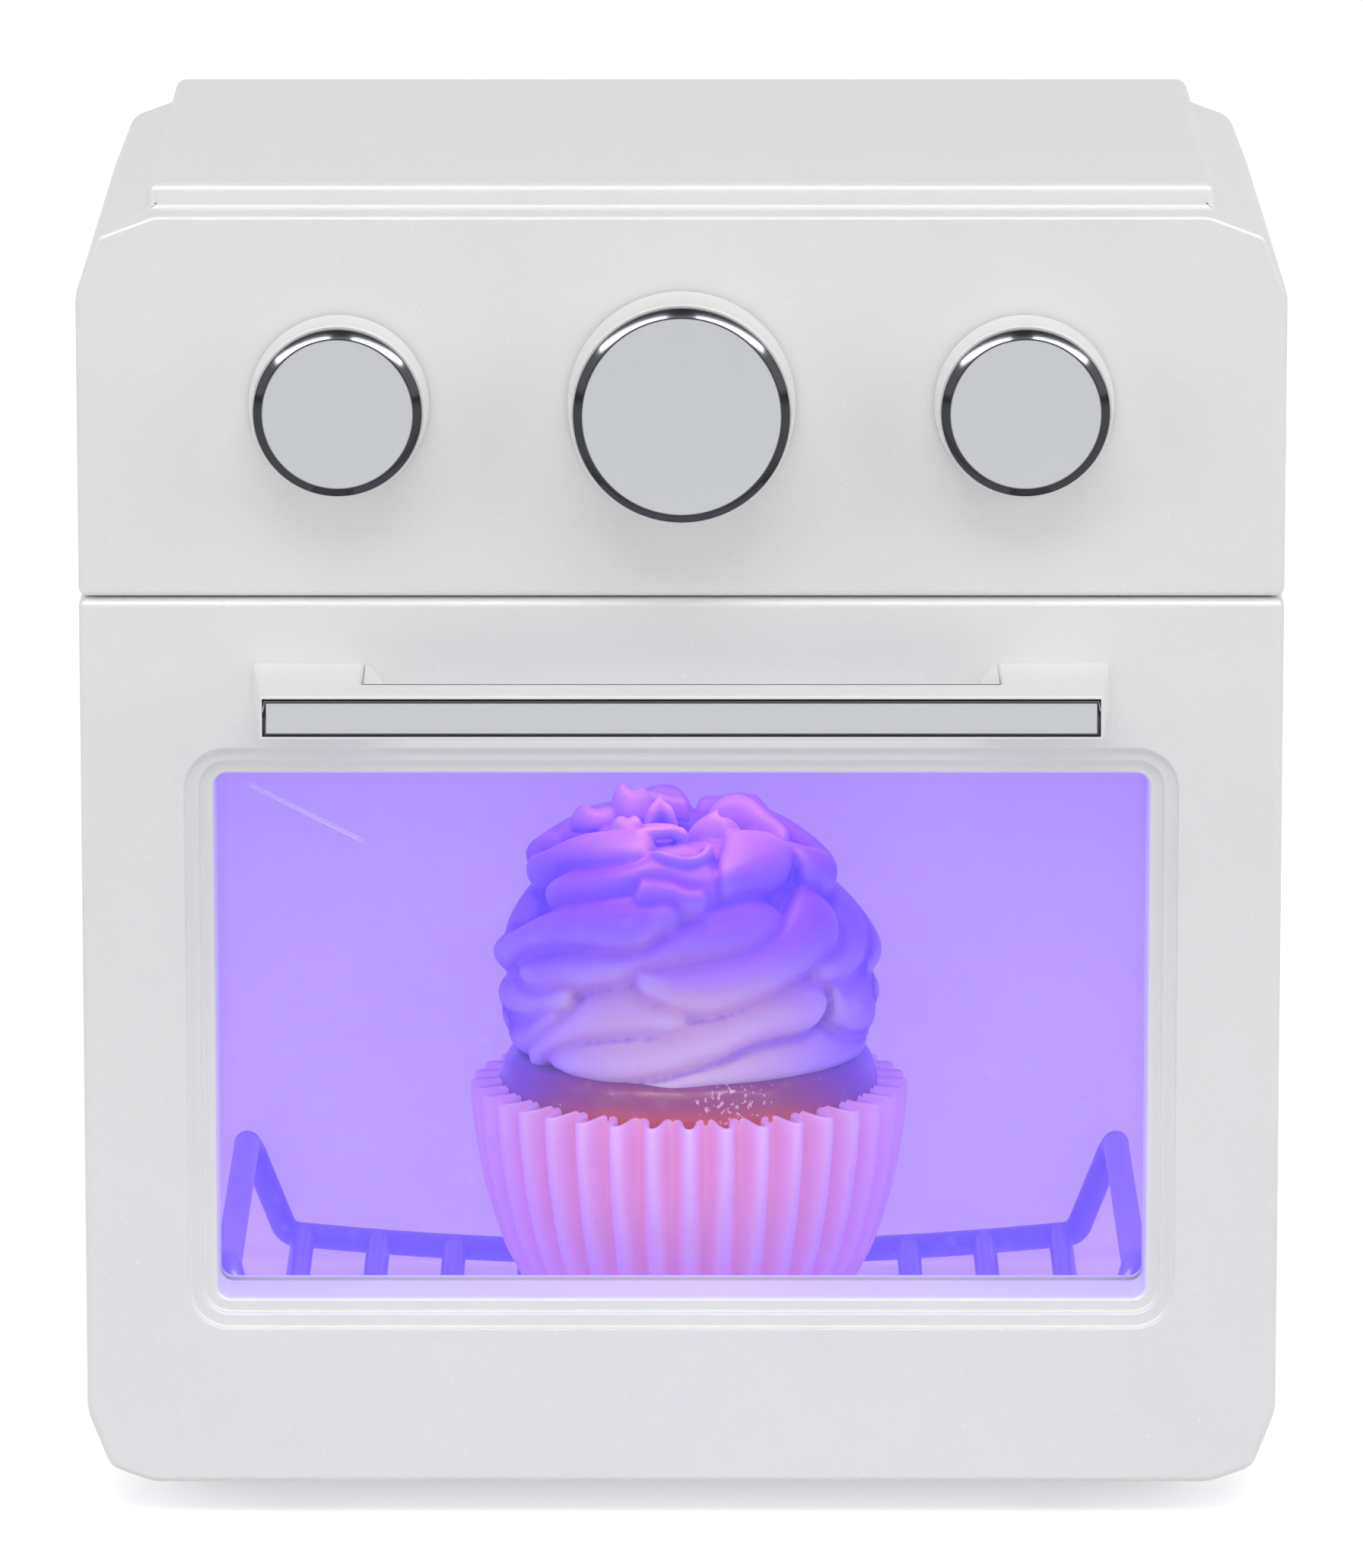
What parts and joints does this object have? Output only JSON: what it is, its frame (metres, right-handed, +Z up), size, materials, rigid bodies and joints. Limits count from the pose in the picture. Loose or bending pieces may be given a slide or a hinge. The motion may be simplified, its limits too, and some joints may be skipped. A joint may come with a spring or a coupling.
{
  "type": "toy oven",
  "caption": "Miniature white countertop toy oven with a drop-down window door, chrome-capped dials, a lit cavity, a bowed wire rack and a lift-out play cupcake.",
  "frame": {"origin": "centre of the bounding box's bottom face, on the surface that the feet stand on", "axes": "+X to the right seen from the front, +Y to the rear, +Z up"},
  "size_m": [0.076, 0.0606, 0.086],
  "materials": {
    "white_plastic": "pearl white, satin",
    "liner_plastic": "white, smooth",
    "chrome": "vacuum metallised, bright",
    "pane": "clear",
    "rack_plastic": "grey, moulded",
    "foot_rubber": "matte",
    "screw_steel": "zinc plated",
    "board": "green, satin",
    "switch_plastic": "black",
    "led_resin": "clear violet",
    "lens_plastic": "frosted",
    "cell_can": "plain grey-blue, satin",
    "contact_metal": "plated spring metal",
    "wire_red": "smooth",
    "wire_black": "smooth",
    "case_plastic": "soft pink lilac",
    "cake_plastic": "glazed",
    "icing_plastic": "soft, slightly waxy"
  },
  "bodies": {
    "casing": {"outer_shell": "white_plastic", "base_tray": "white_plastic", "rear_cover": "white_plastic", "control_panel": "white_plastic", "battery_box": "white_plastic", "battery_hatch": "white_plastic", "cavity_liner": "liner_plastic", "front_left_foot": "foot_rubber", "front_right_foot": "foot_rubber", "rear_left_foot": "foot_rubber", "rear_right_foot": "foot_rubber", "rear_cover_screws": "screw_steel", "battery_hatch_screw": "screw_steel", "base_screws": "screw_steel", "panel_screws": "screw_steel", "liner_screws": "screw_steel", "board_screws": "screw_steel", "lamp_board": "board", "switch_board": "board", "light_switch": "switch_plastic", "lamp_leds": "led_resin", "lamp_lens": "lens_plastic", "battery_cells": "cell_can", "battery_contacts": "contact_metal", "battery_wires": "wire_red", "lamp_wires": "wire_black"},
    "door": {"door_panel": "white_plastic", "door_inner_frame": "white_plastic", "window_pane": "pane", "door_screws": "screw_steel", "left_hinge_pin": "screw_steel", "right_hinge_pin": "screw_steel", "handle": "white_plastic", "handle_trim": "chrome", "handle_screws": "screw_steel"},
    "left_dial": {"left_knob": "white_plastic", "left_knob_cap": "chrome", "left_knob_screw": "screw_steel"},
    "centre_dial": {"centre_knob": "white_plastic", "centre_knob_cap": "chrome", "centre_knob_screw": "screw_steel"},
    "right_dial": {"right_knob": "white_plastic", "right_knob_cap": "chrome", "right_knob_screw": "screw_steel"},
    "rack": {"wire_rack": "rack_plastic"},
    "cupcake": {"cupcake_case": "case_plastic", "cupcake_cake": "cake_plastic", "cupcake_icing": "icing_plastic"}
  },
  "joints": [
    {"name": "door_hinge", "type": "hinge", "parent": "casing", "child": "door", "pos_m": [0, -0.0161, 0.0046], "axis": [1, 0, 0], "range_deg": [0, 78]},
    {"name": "left_dial_turn", "type": "hinge", "parent": "casing", "child": "left_dial", "pos_m": [-0.0215, -0.0197, 0.0725], "axis": [0, 1, 0], "continuous": true},
    {"name": "centre_dial_turn", "type": "hinge", "parent": "casing", "child": "centre_dial", "pos_m": [0, -0.0197, 0.0725], "axis": [0, 1, 0], "range_deg": [0, 90]},
    {"name": "right_dial_turn", "type": "hinge", "parent": "casing", "child": "right_dial", "pos_m": [0.0215, -0.0197, 0.0725], "axis": [0, 1, 0], "continuous": true},
    {"name": "rack_draw", "type": "slide", "parent": "casing", "child": "rack", "axis": [0, -0.7071, 0.7071], "range_m": [0, 0.006]},
    {"name": "cupcake_lift", "type": "slide", "parent": "rack", "child": "cupcake", "axis": [0, 0, 1], "range_m": [0, 0.0025]}
  ],
  "couplings": [
    {"joint": "rack_draw", "follows": "door_hinge", "m_per_rad": 0.0044}
  ]
}
